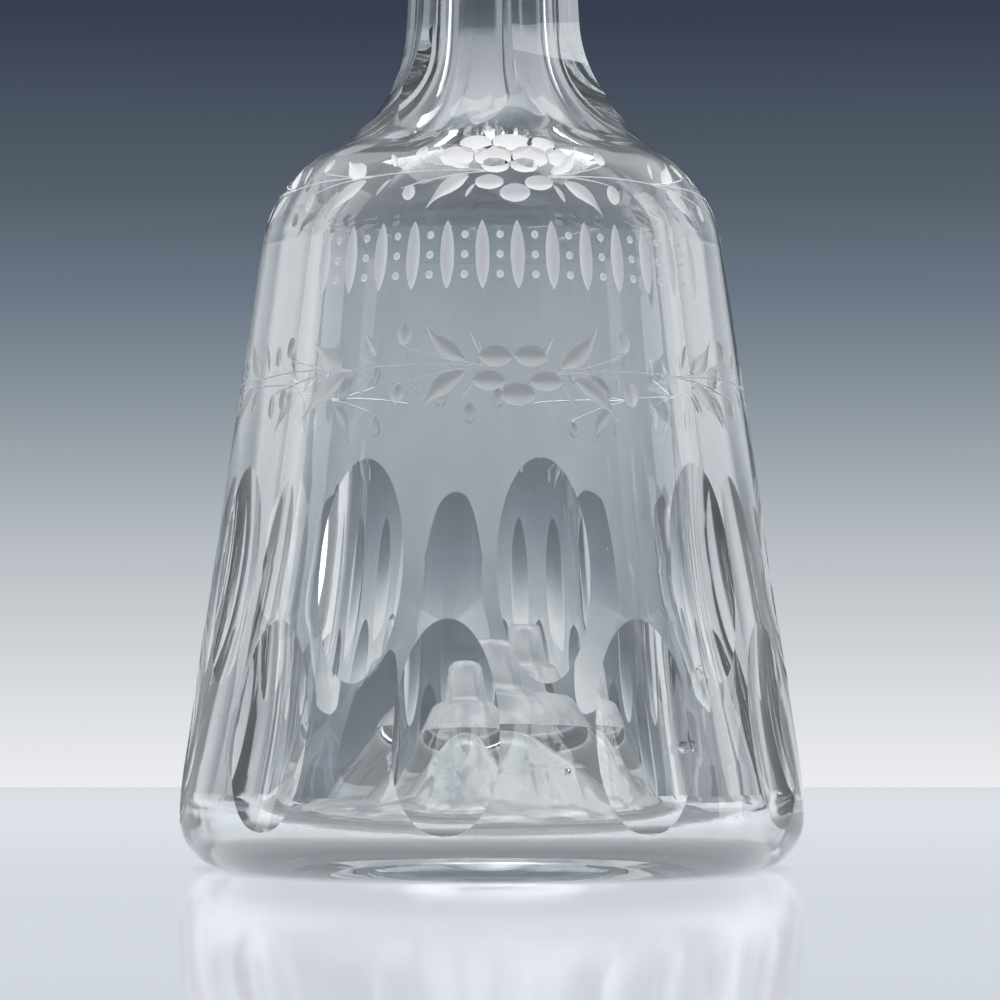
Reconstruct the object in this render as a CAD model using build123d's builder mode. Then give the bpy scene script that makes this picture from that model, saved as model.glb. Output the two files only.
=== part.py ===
# Bitters bottle: a thick cut-glass bottle with a plated dasher pourer set in a cork.
# Millimetres. +Z up, the origin at the middle of the foot, the front towards -Y.

from build123d import *
from math import acos, asin, atan2, cos, degrees, hypot, radians, sin, tan
import os

os.makedirs("parts", exist_ok=True)

# Angles about the bottle's axis are counted from the front, in degrees, positive to the viewer's right.
front_angle = -90

# Glass outside: heel, leaning wall, shoulder, hollow sweep into the neck
body_radius = 38.72
heel_radius = 6.5
swell_radius = 46.8
wall_lean = 8.28
shoulder_height = 77.6
shoulder_radius = 15.7
sweep_radius = 21.0
neck_radius = 12.44
neck_lean = 2.9

# Glass above the sweep: a straight neck, a flare and a flat lip
neck_length = 21.0
flare_length = 19.4
flare_swell = 0.16
lip_overhang = 1.6
lip_thickness = 4.6
lip_round = 1.5

# Foot ring, ground flat, and the kick-up, hollow from below
kick_radius = 17.6
kick_ledge = 1.4
foot_bevel = 0.6
base_hollow = 0.5
kick_round = 8.0
kick_glass = 15.5
kick_dome = 5.5

# Cavity: knob on a cone over the kick-up, floor, wall that flares like a bell, inner shoulder, neck bore
cone_apex = 29.0
knob_flat = 3.9
knob_reach = 4.0
knob_height = 6.1
knob_round = 1.7
knob_foot_round = 1.2
knob_ledge = 0.9
cone_shoulder = 2.6
cone_foot_gap = 1.0
floor_height = 4.4
floor_round = 3.0
corner_radius = 4.0
bell_radius = 320.0
bell_top_height = 61.0
cavity_lean = 5.9
cavity_drop = 0.9
shoulder_glass = 6.2
cavity_shoulder_radius = 12.0
cavity_sweep_radius = 18.0
neck_glass = 5.94

# Seat of the cork, a taper from the throat to the mouth
throat_step = 0.3
throat_drop = 4.0
mouth_taper = 0.8
mouth_bevel = 0.5

# Six flat flutes sliced down the neck and out over the shoulder
flute_count = 6
flute_turn = 42.0
flute_cut = 2.52
flute_rise = 0.6
flute_sweep_radius = 19.3
flute_end_radius = 24.0
flute_end_turn = 70.0
flute_half_width = 24.0
flute_reach = 44.0

# Two rows of hollow ovals, cut by a wheel with a rounded rim
oval_count = 10
wheel_radius = 63.0
upper_oval_turn = 10.0
upper_oval_height = 35.9
upper_oval_depth = 1.4
upper_rim_radius = 16.0
lower_oval_turn = -8.0
lower_oval_height = 17.8
lower_oval_depth = 1.6
lower_rim_radius = 18.0
lower_oval_lean = 6.8

# Fits
solder_gap = 0.02
cork_gap = 0.1
skirt_gap = 0.3
washer_gap = 0.9
hinge_gap = 0.05
side_gap = 0.15
lid_gap = 0.4
seal_gap = 0.1

# Cork, and the tube that runs through it
cork_length = 28.0
cork_bevel = 0.6
stem_radius = 3.4
stem_bore = 2.4
stem_end = 1.5
stem_entry = 4.0
washer_thickness = 1.0
nut_flats = 9.0
nut_height = 3.0
nut_bevel = 0.5

# Flange that covers the lip
flange_wall = 0.9
flange_skirt = 1.6
flange_edge = 1.3
flange_step_radius = 9.6
flange_step = 1.5
flange_top_radius = 5.9
flange_height = 4.4

# Nozzle, turned like a small baluster
nozzle_height = 26.0
nozzle_base_radius = 6.3
nozzle_base = 1.3
nozzle_waist_radius = 4.3
nozzle_waist_height = 4.6
knop_radius = 5.7
knop_height = 7.4
knop_thickness = 1.8
spout_foot_radius = 4.9
spout_tip_radius = 3.9
collar_radius = 4.6
collar_height = 5.0
rim_radius = 5.4
rim_height = 1.8
rim_round = 0.6
dasher_radius = 3.4
dasher_thickness = 1.2
dasher_hole = 0.9

# Hinge at the back of the nozzle, its pin along X
hinge_rise = 0.5
knuckle_radius = 1.3
hinge_width = 6.6
lid_knuckle_width = 2.6
pin_radius = 0.6
pin_overhang = 0.25
bracket_leg = 1.9
bracket_drop = 4.0

# Lid with its finial, the cork disc inside it and the thumb piece behind the hinge
lid_overhang = 0.3
lid_lift = 0.3
lid_edge = 0.8
lid_rise = 2.5
lid_leaf = 1.0
lid_wall = 1.3
seal_seat = 1.2
finial_radius = 1.15
finial_sink = 0.35
thumb_root_width = 2.4
thumb_width = 4.8
thumb_height = 6.2
thumb_lean = 4.2
thumb_thickness = 0.9
thumb_bend = 7.5
thumb_root_height = 1.9
thumb_round = 0.9

# One overrun serves every cut
overrun = 1.0


def radial_plane(angle, out=0, up=0):
    """An upright plane through the axis: its x runs outwards at this angle and its y runs up."""
    turn = radians(angle)
    outwards = (cos(turn), sin(turn), 0)
    return Plane(
        origin=(out * cos(turn), out * sin(turn), up),
        x_dir=outwards,
        z_dir=(sin(turn), -cos(turn), 0),
    )


def upright(lean):
    """Direction of a line that rises and leans in towards the axis by this angle."""
    return (-sin(radians(lean)), cos(radians(lean)))


def crossing_slope(run, fall, first_radius, second_radius):
    """Slope of the line that leaves one circle on top and meets the other from below."""
    distance = hypot(run, fall)
    return degrees(atan2(fall, run) + asin((first_radius + second_radius) / distance))


def crossing_length(run, fall, first_radius, second_radius):
    """Length of that line between its two tangent points."""
    reach = first_radius + second_radius
    return (run**2 + fall**2 - reach**2) ** 0.5


def double_bend(inward, first_radius, second_radius, first_lean, second_lean):
    """Lean where a round shoulder passes into a hollow sweep that ends this far further in."""
    first = first_radius * cos(radians(first_lean))
    second = second_radius * cos(radians(second_lean))
    return degrees(acos((first + second - inward) / (first_radius + second_radius)))


def wall_radius(height):
    """Outside radius of the leaning wall at this height."""
    swell_top = heel_radius + swell_radius * sin(radians(wall_lean))
    swell_top_radius = body_radius - swell_radius * (1 - cos(radians(wall_lean)))
    return swell_top_radius - (height - swell_top) * tan(radians(wall_lean))


def seat_radius(height):
    """Radius of the neck's tapered bore at this height, from the throat to the mouth."""
    share = (height - throat_height) / (bottle_height - throat_height)
    return throat_radius + share * (mouth_radius - throat_radius)


# The outside from the shoulder up
shoulder_top_radius = wall_radius(shoulder_height)
shoulder_lean = double_bend(
    shoulder_top_radius - neck_radius, shoulder_radius, sweep_radius, wall_lean, neck_lean
)
shoulder_rise = shoulder_radius * (sin(radians(shoulder_lean)) - sin(radians(wall_lean)))
sweep_rise = sweep_radius * (sin(radians(shoulder_lean)) - sin(radians(neck_lean)))
neck_foot_height = shoulder_height + shoulder_rise + sweep_rise
flare_height = neck_foot_height + neck_length
lip_under = flare_height + flare_length
bottle_height = lip_under + lip_thickness
lip_root_radius = neck_radius + flare_swell
lip_radius = lip_root_radius + lip_overhang
flute_depth_radius = neck_radius - flute_cut
flute_height = neck_foot_height + flute_rise

# The pourer and its lid, stacked on the lip
cork_bottom = bottle_height - cork_length
washer_bottom = cork_bottom - washer_thickness
nut_bottom = washer_bottom - nut_height
stem_bottom = nut_bottom - stem_end
flange_top = bottle_height + flange_height
stem_top = flange_top + stem_entry
nozzle_top = flange_top + nozzle_height
lid_radius = rim_radius + lid_overhang
lid_bottom = nozzle_top + lid_lift
seal_radius = lid_radius - lid_wall
hinge_height = lid_bottom + hinge_rise
hinge_out = lid_radius + lid_gap + knuckle_radius

# The bore and the cork's seat
bore_radius = neck_radius - neck_glass
throat_radius = bore_radius - throat_step
throat_height = cork_bottom - throat_drop
mouth_radius = throat_radius + mouth_taper
washer_radius = throat_radius - washer_gap

# The base and the cavity
foot_ring_outer = body_radius - heel_radius
foot_ring_inner = kick_radius + kick_ledge
cavity_top_height = shoulder_height - cavity_drop
cavity_top_radius = wall_radius(cavity_top_height) - shoulder_glass
bell_top_radius = cavity_top_radius + (cavity_top_height - bell_top_height) * tan(radians(cavity_lean))
bell_drop = bell_top_height - floor_height - corner_radius
bell_sine = (bell_drop + bell_radius * sin(radians(cavity_lean))) / (bell_radius + corner_radius)
bell_lean = degrees(asin(bell_sine))
bell_flare = bell_radius * (cos(radians(cavity_lean)) - cos(radians(bell_lean)))
floor_radius = bell_top_radius + bell_flare - corner_radius * cos(radians(bell_lean))
knob_fall = knob_height - knob_round - knob_foot_round
knob_slope = crossing_slope(knob_reach, knob_fall, knob_round, knob_foot_round)
knob_length = crossing_length(knob_reach, knob_fall, knob_round, knob_foot_round)
cone_top_height = cone_apex - knob_height
cone_top_radius = knob_flat + knob_reach + knob_ledge
cone_run = floor_radius - cone_foot_gap - cone_top_radius
cone_fall = cone_top_height - cone_shoulder - floor_height - floor_round
cone_slope = crossing_slope(cone_run, cone_fall, cone_shoulder, floor_round)
cone_length = crossing_length(cone_run, cone_fall, cone_shoulder, floor_round)
kick_apex = cone_apex - kick_glass
kick_fall = kick_apex - kick_dome - base_hollow - kick_round
kick_slope = crossing_slope(kick_radius, kick_fall, kick_dome, kick_round)
kick_length = crossing_length(kick_radius, kick_fall, kick_dome, kick_round)
cavity_shoulder_lean = double_bend(
    cavity_top_radius - bore_radius, cavity_shoulder_radius, cavity_sweep_radius, cavity_lean, 0
)

# The glass in section: once round from under the kick-up, up the outside and down the inside
with BuildPart() as bottle:
    with BuildSketch(Plane.XZ):
        with BuildLine():
            under_dome = JernArc((0, kick_apex), (1, 0), kick_dome, -kick_slope)
            under_cone = PolarLine(under_dome @ 1, kick_length, angle=-kick_slope)
            under_rim = JernArc(under_cone @ 1, under_cone % 1, kick_round, kick_slope)
            Polyline(
                under_rim @ 1,
                (foot_ring_inner - foot_bevel, base_hollow),
                (foot_ring_inner, 0),
                (foot_ring_outer, 0),
            )
            heel = JernArc((foot_ring_outer, 0), (1, 0), heel_radius, 90)
            swell = JernArc(heel @ 1, (0, 1), swell_radius, wall_lean)
            Line(swell @ 1, (shoulder_top_radius, shoulder_height))
            shoulder = JernArc(
                (shoulder_top_radius, shoulder_height),
                upright(wall_lean),
                shoulder_radius,
                shoulder_lean - wall_lean,
            )
            sweep = JernArc(shoulder @ 1, shoulder % 1, sweep_radius, neck_lean - shoulder_lean)
            flare_foot = (neck_radius - neck_length * tan(radians(neck_lean)), flare_height)
            Line(sweep @ 1, flare_foot)
            TangentArc(flare_foot, (lip_root_radius, lip_under), tangent=upright(neck_lean))
            Polyline(
                (lip_root_radius, lip_under),
                (lip_radius, lip_under),
                (lip_radius, bottle_height),
                (mouth_radius + mouth_bevel, bottle_height),
                (seat_radius(bottle_height - mouth_bevel), bottle_height - mouth_bevel),
                (throat_radius, throat_height),
            )
            Line((0, cone_apex), (knob_flat, cone_apex))
            knob_edge = JernArc((knob_flat, cone_apex), (1, 0), knob_round, -knob_slope)
            knob_side = PolarLine(knob_edge @ 1, knob_length, angle=-knob_slope)
            knob_foot = JernArc(knob_side @ 1, knob_side % 1, knob_foot_round, knob_slope)
            Line(knob_foot @ 1, (cone_top_radius, cone_top_height))
            inner_edge = JernArc((cone_top_radius, cone_top_height), (1, 0), cone_shoulder, -cone_slope)
            inner_cone = PolarLine(inner_edge @ 1, cone_length, angle=-cone_slope)
            cone_foot = JernArc(inner_cone @ 1, inner_cone % 1, floor_round, cone_slope)
            Line(cone_foot @ 1, (floor_radius, floor_height))
            corner = JernArc((floor_radius, floor_height), (1, 0), corner_radius, 90 + bell_lean)
            bell = JernArc(corner @ 1, upright(bell_lean), bell_radius, cavity_lean - bell_lean)
            Line(bell @ 1, (cavity_top_radius, cavity_top_height))
            inner_shoulder = JernArc(
                (cavity_top_radius, cavity_top_height),
                upright(cavity_lean),
                cavity_shoulder_radius,
                cavity_shoulder_lean - cavity_lean,
            )
            inner_sweep = JernArc(
                inner_shoulder @ 1, inner_shoulder % 1, cavity_sweep_radius, -cavity_shoulder_lean
            )
            Line(inner_sweep @ 1, (throat_radius, throat_height))
            Line((0, cone_apex), (0, kick_apex))
        make_face()
    revolve(axis=Axis.Z)
    lip_edges = bottle.edges().filter_by(GeomType.CIRCLE).filter_by(
        lambda edge: abs(edge.radius - lip_radius) < solder_gap
    )
    fillet(lip_edges, lip_round)

    # Flutes: each slices the neck flat across and follows the sweep up and down
    for index in range(flute_count):
        flute_angle = front_angle + flute_turn + index * 360 / flute_count
        with BuildSketch(radial_plane(flute_angle)):
            with BuildLine():
                rise = flare_height - flute_height
                flute_top_radius = flute_depth_radius - rise * tan(radians(neck_lean))
                run_out = JernArc(
                    (flute_depth_radius, flute_height),
                    (sin(radians(neck_lean)), -cos(radians(neck_lean))),
                    flute_sweep_radius,
                    90 - neck_lean,
                )
                Line((flute_depth_radius, flute_height), (flute_top_radius, flare_height))
                run_in = JernArc(
                    (flute_top_radius, flare_height),
                    upright(neck_lean),
                    flute_end_radius,
                    -flute_end_turn,
                )
                Polyline(
                    run_in @ 1,
                    (flute_reach, (run_in @ 1).Y),
                    (flute_reach, (run_out @ 1).Y),
                    run_out @ 1,
                )
            make_face()
        extrude(amount=flute_half_width, both=True, mode=Mode.SUBTRACT)

    # Ovals: the wheel's crown sinks below the wall, so its rounded rim leaves a long hollow
    oval_rows = (
        (upper_oval_turn, upper_oval_height, upper_oval_depth, upper_rim_radius, wall_lean),
        (lower_oval_turn, lower_oval_height, lower_oval_depth, lower_rim_radius, lower_oval_lean),
    )
    for turn, height, depth, rim, lean in oval_rows:
        wheel_out = wall_radius(height) + (wheel_radius - depth) * cos(radians(lean))
        wheel_up = height + (wheel_radius - depth) * sin(radians(lean))
        for index in range(oval_count):
            oval_angle = front_angle + turn + index * 360 / oval_count
            with Locations(radial_plane(oval_angle, wheel_out, wheel_up)):
                Torus(wheel_radius - rim, rim, mode=Mode.SUBTRACT)
bottle.part.label = "bottle"
export_step(bottle.part, "parts/bottle.step")

# Tapered cork, bored for the tube
with BuildPart() as cork:
    with BuildSketch(Plane.XZ):
        with BuildLine():
            bevel_height = cork_bottom + cork_bevel
            Polyline(
                (stem_radius + solder_gap, cork_bottom),
                (seat_radius(cork_bottom) - cork_gap - cork_bevel, cork_bottom),
                (seat_radius(bevel_height) - cork_gap, bevel_height),
                (mouth_radius - cork_gap, bottle_height),
                (stem_radius + solder_gap, bottle_height),
                close=True,
            )
        make_face()
    revolve(axis=Axis.Z)
cork.part.label = "cork"
export_step(cork.part, "parts/cork.step")

# Tube that carries the bitters up through the cork
with BuildPart() as stem_tube:
    with BuildSketch(Plane.XY.offset(stem_bottom)):
        Circle(stem_radius)
        Circle(stem_bore, mode=Mode.SUBTRACT)
    extrude(amount=stem_top - stem_bottom)
stem_tube.part.label = "stem_tube"
export_step(stem_tube.part, "parts/stem_tube.step")

# Washer under the cork
with BuildPart() as cork_washer:
    with BuildSketch(Plane.XY.offset(washer_bottom)):
        Circle(washer_radius)
        Circle(stem_radius + solder_gap, mode=Mode.SUBTRACT)
    extrude(amount=washer_thickness)
cork_washer.part.label = "cork_washer"
export_step(cork_washer.part, "parts/cork_washer.step")

# Nut that draws the washer up against the cork
with BuildPart() as stem_nut:
    with BuildSketch(Plane.XY.offset(nut_bottom)):
        RegularPolygon(radius=nut_flats / 2, side_count=6, major_radius=False)
        Circle(stem_radius + solder_gap, mode=Mode.SUBTRACT)
    extrude(amount=nut_height)
    chamfer(stem_nut.faces().sort_by(Axis.Z)[0].outer_wire().edges(), nut_bevel)
stem_nut.part.label = "stem_nut"
export_step(stem_nut.part, "parts/stem_nut.step")

# Flange that sits on the lip, with a short skirt round its edge
with BuildPart() as mouth_flange:
    skirt_inner = lip_radius + skirt_gap
    skirt_outer = skirt_inner + flange_wall
    with BuildSketch(Plane.XZ):
        with BuildLine():
            Polyline(
                (flange_top_radius, flange_top),
                (stem_radius + solder_gap, flange_top),
                (stem_radius + solder_gap, bottle_height),
                (skirt_inner, bottle_height),
                (skirt_inner, bottle_height - flange_skirt),
                (skirt_outer, bottle_height - flange_skirt),
                (skirt_outer, bottle_height),
            )
            edge_bead = JernArc((skirt_outer, bottle_height), (0, 1), flange_edge, 90)
            ledge_end = (flange_step_radius, bottle_height + flange_step)
            Line(edge_bead @ 1, ledge_end)
            TangentArc(ledge_end, (flange_top_radius, flange_top), tangent=(-1, 0))
        make_face()
    revolve(axis=Axis.Z)
mouth_flange.part.label = "mouth_flange"
export_step(mouth_flange.part, "parts/mouth_flange.step")

# Nozzle: base, waist, knop, tapering spout, collar for the hinge and a rounded rim
with BuildPart() as nozzle:
    waist = flange_top + nozzle_waist_height
    knop = flange_top + knop_height
    collar_bottom = nozzle_top - rim_height - collar_height
    with BuildSketch(Plane.XZ):
        with BuildLine():
            Polyline(
                (stem_radius + solder_gap, flange_top),
                (nozzle_base_radius, flange_top),
                (nozzle_base_radius, flange_top + nozzle_base),
            )
            hollow_start = (nozzle_base_radius, flange_top + nozzle_base)
            TangentArc(hollow_start, (nozzle_waist_radius, waist), tangent=(-1, 0))
            Polyline(
                (nozzle_waist_radius, waist),
                (nozzle_waist_radius, knop),
                (knop_radius, knop),
                (knop_radius, knop + knop_thickness),
                (spout_foot_radius, knop + knop_thickness),
                (spout_tip_radius, collar_bottom),
                (collar_radius, collar_bottom),
                (collar_radius, nozzle_top - rim_height),
                (rim_radius, nozzle_top - rim_height),
                (rim_radius, nozzle_top),
                (dasher_radius + solder_gap, nozzle_top),
                (dasher_radius + solder_gap, nozzle_top - dasher_thickness),
                (stem_bore, nozzle_top - dasher_thickness),
                (stem_bore, stem_top),
                (stem_radius + solder_gap, stem_top),
                (stem_radius + solder_gap, flange_top),
            )
        make_face()
    revolve(axis=Axis.Z)
    round_edges = nozzle.edges().filter_by(GeomType.CIRCLE).filter_by(
        lambda edge: min(abs(edge.radius - rim_radius), abs(edge.radius - knop_radius)) < solder_gap
    )
    fillet(round_edges, rim_round)
nozzle.part.label = "nozzle"
export_step(nozzle.part, "parts/nozzle.step")

# Small pierced disc that lets the bitters out in dashes
with BuildPart() as dasher_disc:
    with BuildSketch(Plane.XY.offset(nozzle_top - dasher_thickness)):
        Circle(dasher_radius)
        Circle(dasher_hole, mode=Mode.SUBTRACT)
    extrude(amount=dasher_thickness)
dasher_disc.part.label = "dasher_disc"
export_step(dasher_disc.part, "parts/dasher_disc.step")

# Hinge bracket: a leg on the collar and two ears that stand past the rim
with BuildPart() as hinge_bracket:
    with BuildSketch(Plane.YZ):
        ear_out = hinge_out + knuckle_radius
        ear_in = rim_radius + side_gap
        leg_bottom = nozzle_top - rim_height - side_gap - bracket_drop
        with Locations((hinge_out, hinge_height)):
            Circle(knuckle_radius)
        with BuildLine():
            Polyline(
                (hinge_out - knuckle_radius, hinge_height),
                (ear_in, nozzle_top - rim_height - side_gap),
                (0, nozzle_top - rim_height - side_gap),
                (0, leg_bottom),
                (collar_radius + bracket_leg, leg_bottom),
                (ear_out, hinge_height - knuckle_radius / 2),
                (ear_out, hinge_height),
                close=True,
            )
        make_face()
    extrude(amount=hinge_width / 2, both=True)
    with Locations((0, 0, leg_bottom - overrun)):
        Cylinder(
            collar_radius + solder_gap,
            nozzle_top - leg_bottom + overrun,
            align=(Align.CENTER, Align.CENTER, Align.MIN),
            mode=Mode.SUBTRACT,
        )
    with BuildSketch(Plane.YZ):
        slot_reach = knuckle_radius + side_gap
        with Locations((hinge_out, hinge_height)):
            Circle(slot_reach)
        with Locations((hinge_out, hinge_height - lid_leaf / 2 - side_gap)):
            Rectangle(hinge_out, slot_reach + overrun, align=(Align.MAX, Align.MIN))
        with Locations((hinge_out, hinge_height)):
            Rectangle(slot_reach + overrun, 2 * slot_reach, align=(Align.MIN, Align.CENTER))
    extrude(amount=lid_knuckle_width / 2 + side_gap, both=True, mode=Mode.SUBTRACT)
    with BuildSketch(Plane.YZ):
        with Locations((hinge_out, hinge_height)):
            Circle(pin_radius + solder_gap)
    extrude(amount=hinge_width, both=True, mode=Mode.SUBTRACT)
hinge_bracket.part.label = "hinge_bracket"
export_step(hinge_bracket.part, "parts/hinge_bracket.step")

# Hinge pin
with BuildPart() as hinge_pin:
    with BuildSketch(Plane.YZ):
        with Locations((hinge_out, hinge_height)):
            Circle(pin_radius)
    extrude(amount=hinge_width / 2 + pin_overhang, both=True)
hinge_pin.part.label = "hinge_pin"
export_step(hinge_pin.part, "parts/hinge_pin.step")

# Lid: a shallow dome with a ball finial, a leaf and its knuckle at the back
with BuildPart() as lid:
    with BuildSketch(Plane.XZ):
        with BuildLine():
            lid_edge_top = (lid_radius, lid_bottom + lid_edge)
            lid_crown = (0, lid_bottom + lid_edge + lid_rise)
            Polyline(lid_crown, (0, lid_bottom), (lid_radius, lid_bottom), lid_edge_top)
            TangentArc(lid_crown, lid_edge_top, tangent=(1, 0))
        make_face()
    revolve(axis=Axis.Z)
    with Locations((0, 0, lid_bottom + lid_edge + lid_rise + finial_radius - finial_sink)):
        Sphere(finial_radius)
    with BuildSketch(Plane.YZ):
        with Locations((hinge_out, hinge_height)):
            Circle(knuckle_radius)
            Rectangle(hinge_out, lid_leaf, align=(Align.MAX, Align.CENTER))
    extrude(amount=lid_knuckle_width / 2, both=True)
    with Locations((0, 0, lid_bottom)):
        Cylinder(
            seal_radius + solder_gap,
            seal_seat,
            align=(Align.CENTER, Align.CENTER, Align.MIN),
            mode=Mode.SUBTRACT,
        )
    with BuildSketch(Plane.YZ):
        with Locations((hinge_out, hinge_height)):
            Circle(pin_radius + hinge_gap)
    extrude(amount=hinge_width, both=True, mode=Mode.SUBTRACT)
lid.part.label = "lid"
export_step(lid.part, "parts/lid.step")

# Cork disc inside the lid
with BuildPart() as lid_seal:
    with BuildSketch(Plane.XY.offset(nozzle_top + seal_gap)):
        Circle(seal_radius)
    extrude(amount=lid_bottom + seal_seat - nozzle_top - seal_gap)
lid_seal.part.label = "lid_seal"
export_step(lid_seal.part, "parts/lid_seal.step")

# Thumb piece: a bent plate on the lid's knuckle, wider towards its top
with BuildPart() as thumb_piece:
    thumb_top = hinge_height + thumb_height
    with BuildSketch(Plane.YZ):
        with BuildLine():
            inner_foot = (hinge_out - thumb_thickness / 2, hinge_height)
            inner_tip = (hinge_out + thumb_lean - thumb_thickness / 2, thumb_top)
            outer_foot = (hinge_out + thumb_thickness / 2, hinge_height)
            outer_tip = (hinge_out + thumb_lean + thumb_thickness / 2, thumb_top)
            RadiusArc(inner_foot, inner_tip, thumb_bend)
            Line(inner_tip, outer_tip)
            RadiusArc(outer_foot, outer_tip, thumb_bend)
            Line(outer_foot, inner_foot)
        make_face()
    extrude(amount=thumb_width / 2, both=True)
    with BuildSketch(Plane.XZ):
        with BuildLine():
            Polyline(
                (-thumb_root_width / 2, hinge_height),
                (-thumb_root_width / 2, hinge_height + thumb_root_height),
                (-thumb_width / 2, thumb_top - thumb_round),
                (-thumb_width / 2 + thumb_round, thumb_top),
                (thumb_width / 2 - thumb_round, thumb_top),
                (thumb_width / 2, thumb_top - thumb_round),
                (thumb_root_width / 2, hinge_height + thumb_root_height),
                (thumb_root_width / 2, hinge_height),
                close=True,
            )
        make_face()
    extrude(amount=hinge_out + thumb_lean + thumb_bend, both=True, mode=Mode.INTERSECT)
    with BuildSketch(Plane.YZ):
        with Locations((hinge_out, hinge_height)):
            Circle(knuckle_radius + solder_gap)
    extrude(amount=thumb_width, both=True, mode=Mode.SUBTRACT)
thumb_piece.part.label = "thumb_piece"
export_step(thumb_piece.part, "parts/thumb_piece.step")
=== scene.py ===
# %% [markdown]
# # A cut-glass bitters bottle with a plated pourer
# The bottle is thick clear glass, blown and then worked three ways: flutes and ovals are cut and
# polished, and two garlands are engraved and left matt. A cork in its neck carries a silver-plated
# pourer with a hinged lid. The solid shapes, their sizes and their joints come from the packed
# frame, so everything here is in metres in that frame, +Z up, with the front towards -Y.

# %% Load the frame
import math
import random

import bmesh
import bpy
import numpy
from mathutils import Matrix, Vector
from mathutils.bvhtree import BVHTree
from mathutils.geometry import barycentric_transform


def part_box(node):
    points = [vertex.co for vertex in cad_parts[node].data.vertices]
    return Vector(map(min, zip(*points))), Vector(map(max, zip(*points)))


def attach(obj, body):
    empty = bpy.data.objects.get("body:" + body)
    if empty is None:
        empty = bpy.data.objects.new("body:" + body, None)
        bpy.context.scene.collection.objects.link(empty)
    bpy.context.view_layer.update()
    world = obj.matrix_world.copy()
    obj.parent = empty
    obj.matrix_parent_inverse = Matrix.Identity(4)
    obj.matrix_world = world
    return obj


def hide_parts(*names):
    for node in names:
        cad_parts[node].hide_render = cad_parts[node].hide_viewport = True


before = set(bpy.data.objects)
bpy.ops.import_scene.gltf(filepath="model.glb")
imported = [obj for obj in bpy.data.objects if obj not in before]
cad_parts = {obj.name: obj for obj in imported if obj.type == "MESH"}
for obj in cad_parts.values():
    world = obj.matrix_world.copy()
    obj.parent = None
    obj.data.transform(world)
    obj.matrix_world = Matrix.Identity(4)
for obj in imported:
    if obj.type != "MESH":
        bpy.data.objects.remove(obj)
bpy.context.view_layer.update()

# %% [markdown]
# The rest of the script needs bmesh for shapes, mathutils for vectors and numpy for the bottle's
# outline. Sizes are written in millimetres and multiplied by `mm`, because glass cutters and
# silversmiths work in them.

mm = 0.001
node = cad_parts
print("nodes:", ", ".join(sorted(node)))

# %% [markdown]
# New pieces are all made the same way: a bmesh is filled, turned into a mesh and linked to the
# scene as an object. Round ones are spun about the bottle's axis, which is the Z axis of the frame.

# %% Helpers for new objects
def linked(name, data):
    """A new object that holds this data, linked to the scene."""
    made = bpy.data.objects.new(name, data)
    bpy.context.collection.objects.link(made)
    return made


def mesh_of(shape, name):
    """A mesh made from a bmesh, which is freed."""
    made = bpy.data.meshes.new(name)
    shape.to_mesh(made)
    shape.free()
    return made


def spin_round(shape, outline, steps):
    """Spin these corners and edges once round the Z axis, and close the skin."""
    whole = {"angle": 2 * math.pi, "steps": steps, "use_merge": True}
    bmesh.ops.spin(shape, geom=outline, axis=(0, 0, 1), cent=(0, 0, 0), **whole)


print("object helpers ready")

# %% [markdown]
# ## Camera
# The photograph was taken from just above the table with a long lens, looking up a little, which is
# why the base is seen almost edge on. The same place and lens give the same outline. Tilting the
# camera is better here than shifting the lens, because other views keep the shift.

# %% Camera
camera_distance = 420 * mm
camera_height = 22 * mm
camera_right = 1.0 * mm
camera_tilt = 3.25
focal_pixels = 3360
sensor_width = 36.0
image_width = 1000

camera_data = bpy.data.cameras.new("camera")
camera_data.sensor_width = sensor_width
camera_data.lens = focal_pixels * sensor_width / image_width
camera = linked("camera", camera_data)
camera.location = (camera_right, -camera_distance, camera_height)
camera.rotation_euler = (math.radians(90 + camera_tilt), 0, 0)
bpy.context.scene.camera = camera
bpy.context.scene.view_settings.view_transform = "Standard"
print("lens", round(camera_data.lens, 1), "mm")

# %% [markdown]
# ## A way to write shaders as sums
# A node tree is hard to read as code. These two classes let a material be written as an expression:
# a `Wire` is one output of a node, and adding or multiplying wires adds the Math nodes. Every other
# node comes from `Shader.add`.

# %% Shader helpers
class Wire:
    """One output of a node, which can be used in sums."""

    def __init__(self, shader, socket):
        self.shader = shader
        self.socket = socket

    def math(self, operation, first, second=0.0):
        return self.shader.add("ShaderNodeMath", {"operation": operation}, {0: first, 1: second})

    def __add__(self, other):
        return self.math("ADD", self, other)

    def __sub__(self, other):
        return self.math("SUBTRACT", self, other)

    def __mul__(self, other):
        return self.math("MULTIPLY", self, other)

    def __pow__(self, other):
        return self.math("POWER", self, other)

    def most(self, other):
        return self.math("MAXIMUM", self, other)


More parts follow.
